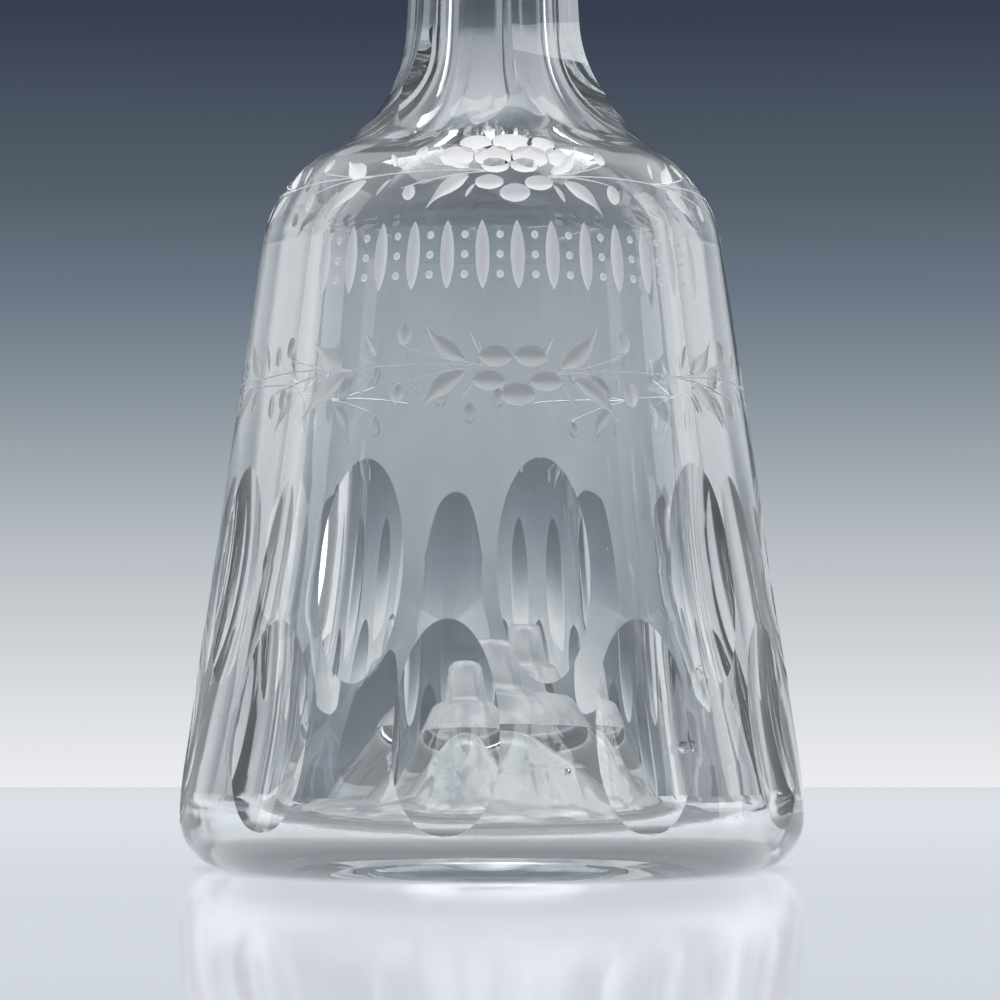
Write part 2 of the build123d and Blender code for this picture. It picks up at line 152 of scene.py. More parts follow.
class Shader:
    """A material's or the world's node tree, emptied and filled again by expressions."""

    def __init__(self, owner):
        owner.use_nodes = True
        self.tree = owner.node_tree
        self.tree.nodes.clear()

    def add(self, kind, settings=None, inputs=None, output=0):
        made = self.tree.nodes.new(kind)
        settings = dict(settings or {})
        stops = settings.pop("stops", None)
        for name, value in settings.items():
            setattr(made, name, value)
        if stops:
            ramp = made.color_ramp
            while len(ramp.elements) < len(stops):
                ramp.elements.new(1.0)
            for element, (place, colour) in zip(ramp.elements, stops):
                element.position = place
                element.color = (*colour, 1.0)
        for name, value in (inputs or {}).items():
            if isinstance(value, Wire):
                self.tree.links.new(value.socket, made.inputs[name])
            else:
                made.inputs[name].default_value = value
        return Wire(self, made.outputs[output])

    def place(self, scale=(1, 1, 1)):
        """Object coordinates, stretched: a pattern that stays on its piece."""
        spot = self.add("ShaderNodeTexCoord", output="Object")
        return self.add("ShaderNodeMapping", {}, {"Vector": spot, "Scale": scale})

    def noise(self, size, detail=3.0, roughness=0.5, stretch=(1, 1, 1), distortion=0.0):
        """Noise whose patches are about this size, in metres."""
        inputs = {
            "Vector": self.place(stretch),
            "Scale": 1.0 / size,
            "Detail": detail,
            "Roughness": roughness,
            "Distortion": distortion,
        }
        return self.add("ShaderNodeTexNoise", {}, inputs)

    def ramp(self, factor, *stops):
        return self.add("ShaderNodeValToRGB", {"stops": stops}, {0: factor})

    def graded(self, length, span, *stops):
        """A ramp over a length: its stops are in metres, up to this span."""
        return self.ramp(length * (1 / span), *((place / span, colour) for place, colour in stops))

    def axis(self, name):
        """One Object coordinate, in metres."""
        spot = self.add("ShaderNodeTexCoord", output="Object")
        return self.add("ShaderNodeSeparateXYZ", {}, {0: spot}, name)

    def radius(self):
        """Distance from the bottle's axis, in metres."""
        x, y = self.axis("X"), self.axis("Y")
        return (x * x + y * y) ** 0.5

    def mix(self, factor, first, second):
        return self.add("ShaderNodeMix", {"data_type": "RGBA"}, {0: factor, 6: first, 7: second}, 2)

    def bump(self, height, strength, distance):
        return self.add(
            "ShaderNodeBump", {}, {"Height": height, "Strength": strength, "Distance": distance}
        )

    def surface(self, **sockets):
        """A Principled surface; a socket's words are joined by underscores in its name here."""
        inputs = {name.replace("_", " "): value for name, value in sockets.items()}
        return self.add("ShaderNodeBsdfPrincipled", {}, inputs)

    def finish(self, surface, kind="ShaderNodeOutputMaterial", volume=None):
        made = self.tree.nodes.new(kind)
        self.tree.links.new(surface.socket, made.inputs["Surface"])
        if volume:
            self.tree.links.new(volume.socket, made.inputs["Volume"])

    def glass(self):
        """Old lead glass: a little light is lost on the way through, red most."""
        inputs = {"Color": (0.76, 0.80, 0.81, 1.0), "Density": 38.0}
        return self.add("ShaderNodeVolumeAbsorption", {}, inputs)


def material(name):
    """A new material and the shader that fills it."""
    made = bpy.data.materials.new(name)
    return made, Shader(made)


def grey(level):
    return (level, level, level)


print("shader helpers ready")

# %% [markdown]
# ## Backdrop
# Glass has no look of its own: it shows what is round it. The backdrop behind the bottle is a soft
# gradient, dark slate above and nearly white at the table, under a pale ceiling. Its sides are pale
# panels, which draw the bright bands down the edges of the glass, and the room in front is grey. A
# world can do all of this with colour ramps on the direction of a ray. Only camera, mirror and
# glass rays see it, and all else is lit by a plain even world, so that a dark backdrop doesn't
# darken the matt engraving.

# %% Backdrop colours
ceiling = (0.600, 0.620, 0.650)
zenith = (0.045, 0.055, 0.075)
slate = (0.038, 0.048, 0.078)
steel = (0.092, 0.117, 0.150)
fog = (0.150, 0.188, 0.238)
haze = (0.252, 0.294, 0.335)
mist = (0.400, 0.437, 0.476)
cloud = (0.555, 0.587, 0.620)
pale = (0.830, 0.840, 0.870)
panel_foot = (0.80, 0.81, 0.84)
panel_low = (0.66, 0.68, 0.72)
panel_middle = (0.50, 0.52, 0.56)
panel_high = (0.40, 0.42, 0.45)
panel_top = (0.36, 0.38, 0.41)
room_front = (0.17, 0.19, 0.22, 1.0)
plain_colour = (0.95, 0.97, 1.0, 1.0)
plain_strength = 0.24
print("backdrop from", pale, "at the table to", slate, "above")

# %% [markdown]
# A ramp takes numbers from 0 to 1, so the horizon is put at 0.1 and the zenith at 1. The first
# stops lie just below the horizon, where the camera sees the table end.

# %% World
horizon = 0.1

world = bpy.data.worlds.new("studio")
bpy.context.scene.world = world
sky = Shader(world)
direction = sky.add("ShaderNodeTexCoord", output="Generated")
sideways = sky.add("ShaderNodeSeparateXYZ", {}, {0: direction}, "X")
behind = sky.add("ShaderNodeSeparateXYZ", {}, {0: direction}, "Y")
upward = sky.add("ShaderNodeSeparateXYZ", {}, {0: direction}, "Z")
level = upward * (1 - horizon) + horizon
back_wall = sky.ramp(
    level,
    (0.076, pale),
    (0.124, cloud),
    (0.151, mist),
    (0.178, haze),
    (0.204, fog),
    (0.231, steel),
    (0.280, slate),
    (0.480, zenith),
    (0.780, zenith),
    (0.900, ceiling),
)
panels = sky.ramp(
    level,
    (0.080, pale),
    (0.120, panel_foot),
    (0.300, panel_low),
    (0.450, panel_middle),
    (0.600, panel_high),
    (0.780, panel_top),
    (0.900, ceiling),
)
print("a dark back wall and pale side panels")

# %% [markdown]
# The two ramps are mixed by how far a ray goes sideways. Higher up the panels reach nearer to the
# middle, as if they leant in over the bottle.

# %% World, joined
leans_from, leans_by = 0.2, 0.6

aside = sky.add("ShaderNodeMath", {"operation": "ABSOLUTE"}, {0: sideways})
leaning = (upward - leans_from).most(0.0) * leans_by
at_panels = sky.ramp(
    aside + leaning, (0.40, grey(0)), (0.52, grey(1)), (0.78, grey(1)), (0.92, grey(0.45))
)
in_front = sky.ramp(behind * -1.0, (0.0, grey(0)), (0.3, grey(0.8)))
studio = sky.mix(in_front, sky.mix(at_panels, back_wall, panels), room_front)
sees = sky.add("ShaderNodeLightPath", output="Is Camera Ray")
mirrors = sky.add("ShaderNodeLightPath", output="Is Glossy Ray")
passes = sky.add("ShaderNodeLightPath", output="Is Transmission Ray")
plain = sky.add(
    "ShaderNodeBackground", {}, {"Color": plain_colour, "Strength": plain_strength}
)
backdrop = sky.add("ShaderNodeBackground", {}, {"Color": studio, "Strength": 1.0})
lit = sky.add(
    "ShaderNodeMixShader", {}, {0: sees.most(mirrors).most(passes), 1: plain, 2: backdrop}
)
sky.finish(lit, "ShaderNodeOutputWorld")
print("world: gradient for camera, mirror and glass rays, plain light for the rest")

# %% [markdown]
# ## Table
# The bottle stands on a sheet of pale acrylic, which reflects a little: a matt colour under a clear
# coat. Clear glass lets most light through, but Blender would give it the shadow of a solid, so the
# glass casts none here, and a painted shadow darkens the sheet's colour right under the foot. Further
# out the sheet's colour is painted lighter towards its edges.

# %% Table
table_back = 350 * mm
table_front = 500 * mm
table_side = 700 * mm
shadow_inside, shadow_edge = 29 * mm, 38 * mm
sheet_near, sheet_far, sheet_span = 100 * mm, 300 * mm, 400 * mm

shape = bmesh.new()
bmesh.ops.create_grid(shape, x_segments=1, y_segments=1, size=1.0)
bmesh.ops.scale(shape, verts=shape.verts, vec=(table_side, (table_back + table_front) / 2, 1))
bmesh.ops.translate(shape, verts=shape.verts, vec=(0, (table_back - table_front) / 2, 0))
table_mesh = mesh_of(shape, "table")
table = linked("table", table_mesh)

acrylic, sheet = material("table_acrylic")
# Painted shadow: the sheet's colour is dark within 29 mm of the axis and fades out by 38 mm. Beyond
# that it is painted lighter, out to 300 mm.
sheet_painted_shade = sheet.graded(
    sheet.radius(),
    sheet_span,
    (shadow_inside, (0.34, 0.35, 0.38)),
    (shadow_edge, (0.83, 0.86, 0.91)),
    (sheet_near, (0.84, 0.87, 0.93)),
    (sheet_far, (0.93, 0.96, 1.0)),
)
sheet.finish(
    sheet.surface(
        Base_Color=sheet_painted_shade,
        Roughness=0.6,
        Specular_IOR_Level=0.0,
        Coat_Weight=0.7,
        Coat_Roughness=0.08,
    )
)
table_mesh.materials.append(acrylic)
print("table", table_side * 2, "m wide")

# %% [markdown]
# ## Lamps
# Two upright strips stand at the sides and a large softbox hangs overhead, which whitens the
# engraving from above. Mirror rays don't see the overhead one, because it would show as a bright
# patch in the glossy table.

# %% Lamps
strip_side, strip_behind, strip_height = 600 * mm, 40 * mm, 200 * mm
strip_width, strip_length, strip_power = 140 * mm, 600 * mm, 0.5
overhead_place = (0, 20 * mm, 750 * mm)
overhead_width, overhead_length, overhead_power = 900 * mm, 600 * mm, 6.3
middle = (0, 0, 60 * mm)


def softbox(name, place, aim, width, length, power):
    """An area lamp at a place, turned to face a point."""
    data = bpy.data.lights.new(name, "AREA")
    data.shape = "RECTANGLE"
    data.size = width
    data.size_y = length
    data.energy = power
    lamp = linked(name, data)
    lamp.location = place
    lamp.rotation_euler = (Vector(aim) - Vector(place)).to_track_quat("-Z", "Y").to_euler()
    lamp.visible_camera = False
    return lamp


for name, side in (("strip_left", -strip_side), ("strip_right", strip_side)):
    place = (side, strip_behind, strip_height)
    softbox(name, place, middle, strip_width, strip_length, strip_power)
overhead = softbox(
    "overhead", overhead_place, middle, overhead_width, overhead_length, overhead_power
)
overhead.visible_glossy = False
print("three softboxes")

# %% [markdown]
# ## Glass
# Clear glass is a Principled surface with nearly full transmission. What is left over scatters, as
# the fine dust and wear on old glass do. Blown glass isn't quite even, so a very shallow bump bends
# the light a little. The glass colour is painted a shade greyer up the neck, a painted shade that
# darkens what the neck shows. Every finish has the same absorbing volume behind it.

# %% Clear glass
glass_ior = 1.54
whole_height = 190 * mm
neck_foot, neck_top = 85.5 * mm, 102.6 * mm

clear_glass, clear = material("glass")
waves = clear.noise(13 * mm, detail=1.0)
# Painted shade: the nearly white glass colour turns grey from the foot of the neck to its top.
glass_tint_and_neck_shade = clear.graded(
    clear.axis("Z"),
    whole_height,
    (neck_foot, (0.985, 0.992, 0.992)),
    (neck_top, (0.69, 0.71, 0.73)),
)
clear.finish(
    clear.surface(
        Base_Color=glass_tint_and_neck_shade,
        Roughness=0.0,
        IOR=glass_ior,
        Transmission_Weight=0.95,
        Normal=clear.bump(waves, 1.0, 0.03 * mm),
    ),
    volume=clear.glass(),
)
print("clear glass")

# %% [markdown]
# The engraving is the same glass with a rough skin, which scatters nearly all its light. Its colour
# is painted light: grey at the olive row and painted white up on the shoulder, where the overhead
# light falls on it. The lower garland is finer and more worn, so more of what is behind it comes
# through.

# %% Matt engraving
olives_top, shoulder_foot = 78.85 * mm, 82.65 * mm

matt_glass, matt = material("matt_glass")
grit = matt.noise(0.25 * mm, detail=2.0)
# Painted light: the engraving's colour is grey up to the olive row and turns white on the shoulder,
# where the overhead light falls.
matt_painted_light = matt.graded(
    matt.axis("Z"),
    whole_height,
    (olives_top, (0.80, 0.82, 0.84)),
    (shoulder_foot, (1.0, 1.0, 1.0)),
)
matt.finish(
    matt.surface(
        Base_Color=matt_painted_light,
        Roughness=0.5,
        IOR=glass_ior,
        Transmission_Weight=0.06,
        Normal=matt.bump(grit, 0.3, 0.05 * mm),
    ),
    volume=matt.glass(),
)
soft_matt, faint = material("soft_matt")
old_grit = faint.noise(0.3 * mm, detail=2.0)
faint.finish(
    faint.surface(
        Base_Color=(0.94, 0.95, 0.96, 1.0),
        Roughness=0.38,
        IOR=glass_ior,
        Transmission_Weight=0.62,
        Normal=faint.bump(old_grit, 0.3, 0.05 * mm),
    ),
    volume=faint.glass(),
)
print("matt and soft matt glass")

# %% [markdown]
# Nobody polishes the underside. Where the glass was pushed up in the middle it is smeared and
# cloudy, in streaks that run up the cone. The flat foot ring that the bottle stands on is scuffed
# grey, and its colour is darkened further as painted shade where it meets the table.

# %% Underside of the glass
kick_glass, kick = material("kick_glass")
smears = kick.noise(9 * mm, detail=1.0, distortion=0.6)
streaks = kick.noise(5 * mm, detail=3.0, stretch=(1.0, 1.0, 0.35), distortion=1.2)
kick.finish(
    kick.surface(
        Base_Color=kick.ramp(streaks, (0.40, (0.66, 0.70, 0.75)), (0.60, (1.0, 1.0, 1.0))),
        Roughness=kick.ramp(smears, (0.35, grey(0.15)), (0.75, grey(0.45))),
        IOR=glass_ior,
        Transmission_Weight=0.52,
        Normal=kick.bump(smears, 1.0, 0.3 * mm),
    ),
    volume=kick.glass(),
)
foot_glass, foot = material("worn_foot_and_painted_shade")
scuffs = foot.noise(2.5 * mm, detail=4.0, roughness=0.7)
foot.finish(
    foot.surface(
        # Partly real scuffs and partly painted shade: the foot ring's colour is darkened where it meets
        # the table.
        Base_Color=foot.ramp(scuffs, (0.3, (0.44, 0.43, 0.42)), (0.7, (0.62, 0.62, 0.61))),
        Roughness=foot.ramp(scuffs, (0.3, grey(0.25)), (0.7, grey(0.6))),
        IOR=glass_ior,
        Transmission_Weight=0.45,
    ),
    volume=foot.glass(),
)
print("cloudy kick-up and worn foot")

# %% [markdown]
# ## Engraving
# A wheel engraver holds the bottle against small spinning stone discs, so every petal, leaf and
# berry is a shallow bowl with a rounded bottom, left matt by the stone. Each one is made here as a
# `stroke`: a row of bowl sections along a spine, closed above the glass. The strokes are then cut
# from a copy of the bottle.
#
# The engraver works on the outside, so the cuts need its outline. It is measured on the packed
# bottle with rays shot from the front at its axis, in the bands between the flutes and the ovals.

# %% Outline of the bottle where it is engraved
depsgraph = bpy.context.evaluated_depsgraph_get()
glass_tree = BVHTree.FromObject(node["bottle"], depsgraph)
band_bottom, band_top, band_step = 50, 90, 0.25
ray_start = -100 * mm


def outside_radius(height):
    """Radius of the glass at this height, seen from the front."""
    hit = glass_tree.ray_cast(Vector((0, ray_start, height)), Vector((0, 1, 0)))
    return -hit[0].y


heights = numpy.arange(band_bottom, band_top, band_step) * mm
radii = numpy.array([outside_radius(height) for height in heights])
steps = numpy.hypot(numpy.diff(radii), numpy.diff(heights))
climb = numpy.concatenate([[0], numpy.cumsum(steps)])
rise_r = numpy.gradient(radii, climb)
rise_z = numpy.gradient(heights, climb)
print("outline from", band_bottom, "to", band_top, "mm")
print("radius", radii.max() / mm, "to", radii.min() / mm, "mm")


# %% Places on the glass
class Band:
    """A band round the bottle: `place` takes millimetres along it, up the glass and out of it."""

    def __init__(self, height, turn=0.0, reach=1.0):
        self.start = float(numpy.interp(height * mm, heights, climb))
        self.radius = float(numpy.interp(height * mm, heights, radii))
        self.turn = turn
        self.reach = reach

    def place(self, along, up, out):
        way = self.start + up * self.reach * mm
        radius = numpy.interp(way, climb, radii) + out * mm * numpy.interp(way, climb, rise_z)
        height = numpy.interp(way, climb, heights) - out * mm * numpy.interp(way, climb, rise_r)
        angle = math.radians(self.turn) + along * self.reach * mm / self.radius
        return Vector((radius * math.sin(angle), -radius * math.cos(angle), height))


print("places on the glass are taken along it, up it and out of it")

# %% [markdown]
# A stroke's section is a bowl that reaches a little past its own width, where it stands clear of
# the glass. No two strokes are quite alike: a hand's wobble makes each section wider or narrower.

# %% One wheel cut
bowl_section = (-1.3, -0.95, -0.5, 0.0, 0.5, 0.95, 1.3)
narrower, wider = 0.96, 1.04
sunk_power = 0.6
wobble = random.Random(7)


def stroke(shape, band, spine, half_widths, depth):
    """Add a groove along a spine of points: bowl-shaped below the glass, closed above it."""
    widest = max(half_widths)
    rings = []
    for index, (point, half) in enumerate(zip(spine, half_widths)):
        ahead = spine[min(index + 1, len(spine) - 1)] - spine[max(index - 1, 0)]
        side = Vector((-ahead.y, ahead.x)).normalized() * half * wobble.uniform(narrower, wider)
        sunk = depth * (half / widest) ** sunk_power
        ring = []
        for share in bowl_section:
            spot = point + side * share
            ring.append(shape.verts.new(band.place(spot.x, spot.y, sunk * (share**2 - 1))))
        rings.append(ring)
    for first, second in zip(rings, rings[1:]):
        for corner in range(len(first)):
            after = (corner + 1) % len(first)
            shape.faces.new((first[corner], first[after], second[after], second[corner]))
    shape.faces.new(rings[0][::-1])
    shape.faces.new(rings[-1])


def bent(start, end, bow, count):
    """Points from start to end that bow to the left by this much in the middle."""
    start, end = Vector(start), Vector(end)
    side = Vector((start.y - end.y, end.x - start.x)).normalized()
    shares = [index / (count - 1) for index in range(count)]
    return [start.lerp(end, share) + side * bow * 4 * share * (1 - share) for share in shares]


def oval_shares(count, fullness=0.5):
    """Half widths of an oval along its length, as shares of its widest."""
    places = [-1 + 2 * (index + 0.15) / (count - 0.7) for index in range(count)]
    return [(1 - place**2) ** fullness for place in places]


print("a stroke has", len(bowl_section), "corners to a section")

# %% The engraver's shapes
leaf_shares = (0.18, 0.55, 0.82, 0.97, 1.0, 0.93, 0.78, 0.55, 0.34, 0.2, 0.12, 0.05)
hair_shares = (*[1.0] * 13, 0.45)
sliver_shares = oval_shares(8, 0.8)
round_shares = oval_shares(11)
leaf_depth, sliver_depth, bowl_depth, hair_depth = 0.38, 0.28, 0.42, 0.13
hair_half = 0.09


def shaped(shares, half):
    """Half widths from shares of the widest one."""
    return [half * share for share in shares]


def leaf(shape, band, start, end, half, bow):
    spine = bent(start, end, bow, len(leaf_shares))
    stroke(shape, band, spine, shaped(leaf_shares, half), leaf_depth)


def sliver(shape, band, start, end, half, bow):
    spine = bent(start, end, bow, len(sliver_shares))
    stroke(shape, band, spine, shaped(sliver_shares, half), sliver_depth)


def bowl(shape, band, centre, wide, tall, lean=0.0):
    """A berry or a petal: an oval that is this wide and tall, its spine along the longer way."""
    way = Vector((wide / 2, 0)) if wide > tall else Vector((0, tall / 2))
    way.rotate(Matrix.Rotation(math.radians(lean), 2))
    centre = Vector(centre)
    spine = bent(centre - way, centre + way, 0, len(round_shares))
    stroke(shape, band, spine, shaped(round_shares, min(wide, tall) / 2), bowl_depth)


def hairline(shape, band, start, end, bow):
    spine = bent(start, end, bow, len(hair_shares))
    stroke(shape, band, spine, shaped(hair_shares, hair_half), hair_depth)


print("leaf, sliver, bowl and hairline")

# %% [markdown]
# The garlands are sprays strung on a stem: from each knot three hairlines run out, the middle one
# to the next knot and the others to a berry each, with a pair of leaves and a pair of slivers
# between them. The three sprays below are drawn in millimetres from their knot, the way the
# engraver varied them. Sprays to the left of the middle are mirrored.

# %% Sprays
spray_step = 16.9
sprays = {
    "full": {
        "leaves": [((2.4, 0.7), (7.3, 5.1), 1.05, -0.5), ((2.4, -0.8), (7.8, -5.7), 1.15, 0.5)],
        "slivers": [((0.4, 1.0), (1.7, 4.1), 0.34), ((1.4, -2.2), (2.6, -4.2), 0.26)],
        "berries": [((9.8, 3.9), 1.9, 2.7), ((10.4, -3.2), 1.8, 2.3)],
        "ends": [(9.7, 2.4), (11.6, -2.5)],
    },
    "upright": {
        "leaves": [((0.2, 0.6), (5.2, 6.1), 1.1, -0.6), ((1.9, -0.8), (6.9, -5.7), 1.1, 0.6)],
        "slivers": [((-2.3, 0.8), (-0.7, 4.3), 0.36), ((0.3, -1.3), (1.6, -3.9), 0.34)],
        "berries": [((8.5, 3.9), 1.7, 2.5), ((8.9, -2.3), 1.9, 2.9)],
        "ends": [(8.4, 2.5), (8.6, -0.8)],
    },
    "broad": {
        "leaves": [((1.1, 0.4), (5.8, 3.6), 1.45, -0.2), ((0.6, -0.6), (6.6, -5.8), 1.2, 0.5)],
        "slivers": [((-3.6, 1.5), (-2.1, 4.1), 0.42), ((-3.5, -0.6), (-1.7, -3.1), 0.28)],
        "berries": [((10.2, 3.4), 1.6, 2.6), ((10.6, -3.0), 1.7, 2.6)],
        "ends": [(9.7, 1.8), (9.9, -1.6)],
    },
}
right_sprays = ("upright", "full", "broad", "upright", "full")
left_sprays = ("full", "broad", "upright", "full", "broad")
right_knot, left_knot = (8.1, -0.5), (-0.8, 0.4)
knot_share = 0.5
sliver_bow = 0.15
hair_starts = {"upper": (-0.4, 0.1), "lower": (-0.3, -0.1), "middle": (0, 0)}
hair_bows = {"upper": -0.3, "lower": 0.4, "middle": 0.35}
print(len(sprays), "sprays")

# %% [markdown]
# Both garlands have a posy of five petals at the front. On the upper one it is the heart of a
# larger flower. The back isn't in the photograph, so three berries close each garland there.

# %% Posy, crown and berries
posy = (
    ((0.5, 1.45), 3.9, 2.7),
    ((4.65, 1.5), 3.9, 2.6),
    ((-0.3, -1.45), 3.8, 2.4),
    ((6.4, -1.5), 3.8, 2.4),
    ((3.1, -3.1), 4.0, 2.8),
)
crown = (
    ((-5.0, 3.4), 5.2, 4.4),
    ((0.2, 3.3), 5.8, 4.2),
    ((5.6, 3.3), 5.6, 4.4),
    ((9.6, 3.4), 3.4, 3.8),
    ((-2.4, 6.1), 5.2, 4.4),
    ((3.2, 6.4), 6.4, 4.6),
    ((7.8, 5.8), 4.4, 4.2),
)
back_berries = ((-4.6, 0.9), (0.0, -1.1), (4.6, 0.9))
back_berry_wide, back_berry_tall = 1.9, 2.6
print(len(posy), "petals,", len(crown), "more in the crown,", len(back_berries), "berries at the back")

# %% [markdown]
# The strokes are kept in sets by their kind, and each set becomes one cutter. The three hairlines
# of a spray start at one knot, so they go into three sets. Each knot is half as far from the
# band's middle as the one before.

# %% Garlands
sets = ("leaves", "slivers", "bowls", "upper", "middle", "lower")
cuts = {name: bmesh.new() for name in sets}
berry_lean, petal_lean = 8, 4


def engrave_spray(band, kind, knot, side):
    """Cut one spray from its knot, to the right with side 1 or mirrored to the left with side -1."""
    drawn = sprays[kind]

    def seat(spot):
        return (knot[0] + side * spot[0], knot[1] + spot[1])

    for start, end, half, bow in drawn["leaves"]:
        leaf(cuts["leaves"], band, seat(start), seat(end), half, bow * side)
    for start, end, half in drawn["slivers"]:
        sliver(cuts["slivers"], band, seat(start), seat(end), half, sliver_bow * side)
    for centre, wide, tall in drawn["berries"]:
        lean = wobble.uniform(-berry_lean, berry_lean)
        bowl(cuts["bowls"], band, seat(centre), wide, tall, lean)
    upper_end, lower_end = drawn["ends"]
    next_knot = (spray_step, -knot[1] * knot_share)
    for name, end in (("upper", upper_end), ("lower", lower_end), ("middle", next_knot)):
        hairline(cuts[name], band, seat(hair_starts[name]), seat(end), hair_bows[name] * side)


def engrave_garland(band, petals):
    """Petals at the front, sprays both ways round and three berries at the back."""
    for centre, wide, tall in petals:
        bowl(cuts["bowls"], band, centre, wide, tall, wobble.uniform(-petal_lean, petal_lean))
    for kinds, first, side in ((right_sprays, right_knot, 1), (left_sprays, left_knot, -1)):
        along, up = first
        for kind in kinds:
            engrave_spray(band, kind, (along, up), side)
            along, up = along + side * spray_step, up * knot_share
    back = (right_knot[0] + left_knot[0]) / 2 + math.pi * band.radius / mm / band.reach
    for along, up in back_berries:
        bowl(cuts["bowls"], band, (back + along, up), back_berry_wide, back_berry_tall)


lower_band = Band(59.4)
upper_band = Band(82.9, reach=0.86)
engrave_garland(lower_band, posy)
engrave_garland(upper_band, posy + crown)
print("strokes:", {name: len(cut.faces) for name, cut in cuts.items()}, "faces")

# %% [markdown]
# Between the garlands runs a plain row of upright olive cuts with dots between them, over the front
# only.

# %% Olive row
olive_count = 13
olive_step = 4.15
olive_tall = 4.1
olive_half = 0.85
olive_lean = 0.08
olive_shares = oval_shares(12, 0.7)
dot_heights = (-2.4, 0, 2.4)
dot_wide, dot_tall = 0.9, 0.95
row_band = Band(73.0, turn=6.0)
for index in range(olive_count):
    along = (index - (olive_count - 1) / 2) * olive_step
    lean = wobble.uniform(-olive_lean, olive_lean)
    start, end = (along - lean, -olive_tall), (along + lean, olive_tall)
    spine = bent(start, end, 0, len(olive_shares))
    stroke(cuts["leaves"], row_band, spine, shaped(olive_shares, olive_half), leaf_depth)
    if index < olive_count - 1:
        for up in dot_heights:
            bowl(cuts["bowls"], row_band, (along + olive_step / 2, up), dot_wide, dot_tall)
print(olive_count, "olives")

# %% [markdown]
# Blown glass also holds seeds, small bubbles of air. They are balls taken out of the wall, a large
# one near the foot among them. A seed is given by its turn from the front in degrees, and by its
# height, its distance from the axis and its radius in millimetres.

# %% Bubbles
seeds = [
    (41.0, 15.2, 33.6, 0.72),
    (14.0, 12.6, 35.0, 0.4),
    (-17.0, 57.0, 30.0, 0.22),
    (24.0, 38.4, 32.4, 0.2),
]
small_seeds = 22
small_seed_out = 33.0
small_seed_heights = (8, 30)
small_seed_radii = (0.1, 0.2)
seeder = random.Random(5)
for index in range(small_seeds):
    turn, up = seeder.uniform(-180, 180), seeder.uniform(*small_seed_heights)
    seeds.append((turn, up, small_seed_out, seeder.uniform(*small_seed_radii)))

bubbles = bmesh.new()
for turn, up, out, radius in seeds:
    angle = math.radians(turn)
    centre = (out * mm * math.sin(angle), -out * mm * math.cos(angle), up * mm)
    spot = Matrix.Translation(centre)
    bmesh.ops.create_icosphere(bubbles, subdivisions=2, radius=radius * mm, matrix=spot)
cuts["bubbles"] = bubbles
print(len(seeds), "bubbles")

# %% [markdown]
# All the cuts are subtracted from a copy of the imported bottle. The copy's corners are merged first,
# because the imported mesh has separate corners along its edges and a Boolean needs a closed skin.

# %% Cut the glass
same_corner = 0.0005 * mm


def merged_copy(source, name):
    """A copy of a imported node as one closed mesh."""
    shape = bmesh.new()
    shape.from_mesh(source.data)
    bmesh.ops.remove_doubles(shape, verts=shape.verts, dist=same_corner)
    open_edges = sum(not edge.is_manifold for edge in shape.edges)
    mesh = mesh_of(shape, name)
    print(name, len(mesh.polygons), "faces,", open_edges, "open edges")
    return linked(name, mesh)


blank = merged_copy(node["bottle"], "glass_blank")
blank.data.materials.clear()
blank.data.materials.append(clear_glass)
cutters = []
for name, cut in cuts.items():
    bmesh.ops.recalc_face_normals(cut, faces=cut.faces)
    cut_mesh = mesh_of(cut, "cut_" + name)
    cut_mesh.materials.append(clear_glass if name == "bubbles" else matt_glass)
    cutter = linked("cut_" + name, cut_mesh)
    cutters.append(cutter)
    bite = blank.modifiers.new(name, "BOOLEAN")
    bite.operation = "DIFFERENCE"
    bite.solver = "MANIFOLD"
    bite.material_mode = "TRANSFER"
    bite.object = cutter
depsgraph = bpy.context.evaluated_depsgraph_get()
engraved = bpy.data.meshes.new_from_object(blank.evaluated_get(depsgraph), depsgraph=depsgraph)
for helper in (blank, *cutters):
    bpy.data.objects.remove(helper)
print("engraved glass:", len(engraved.polygons), "faces")

# %% [markdown]
# The Boolean has given each face the material of what cut it, clear or matt. The other finishes are
# set by where a face lies: the ground foot ring, the recess under the bottle, the knob and cone
# above it, and the lower garland.

# %% Finishes on the glass
matt_kind, kick_kind, foot_kind, soft_kind = 1, 2, 3, 4
matt_kinds = (matt_kind, soft_kind)
foot_top, soft_top = 0.05 * mm, 67 * mm
recess_top, recess_radius = 15 * mm, 18.2 * mm
cone_foot, cone_top, cone_radius = 6 * mm, 31 * mm, 15 * mm
flat_down, hollow_down, cone_up = -0.95, -0.1, 0.02

for finish in (kick_glass, foot_glass, soft_matt):
    engraved.materials.append(finish)
for face in engraved.polygons:
    height, facing_up = face.center.z, face.normal.z
    off_axis = math.hypot(face.center.x, face.center.y)
    if facing_up < flat_down and height < foot_top:
        face.material_index = foot_kind
    elif facing_up < hollow_down and height < recess_top and off_axis < recess_radius:
        face.material_index = kick_kind
    elif facing_up > cone_up and cone_foot < height < cone_top and off_axis < cone_radius:
        face.material_index = kick_kind
    elif face.material_index == matt_kind and height < soft_top:
        face.material_index = soft_kind
matt_faces = sum(face.material_index in matt_kinds for face in engraved.polygons)
print(matt_faces, "of", len(engraved.polygons), "faces are matt")

# %% [markdown]
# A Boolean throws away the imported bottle's own normals, and without them the polished curves would
# look faceted. They are put back face by face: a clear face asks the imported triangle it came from,
# and a matt face averages the matt faces next to it that don't turn away by more than `crease`.

# %% Normals
crease = math.cos(math.radians(30))
same_way = 0.8
packed = node["bottle"].data
packed_normals = [corner.vector.copy() for corner in packed.corner_normals]
matt_round = {}
for face in engraved.polygons:
    if face.material_index in matt_kinds:
        for corner in face.vertices:
            matt_round.setdefault(corner, []).append(face)


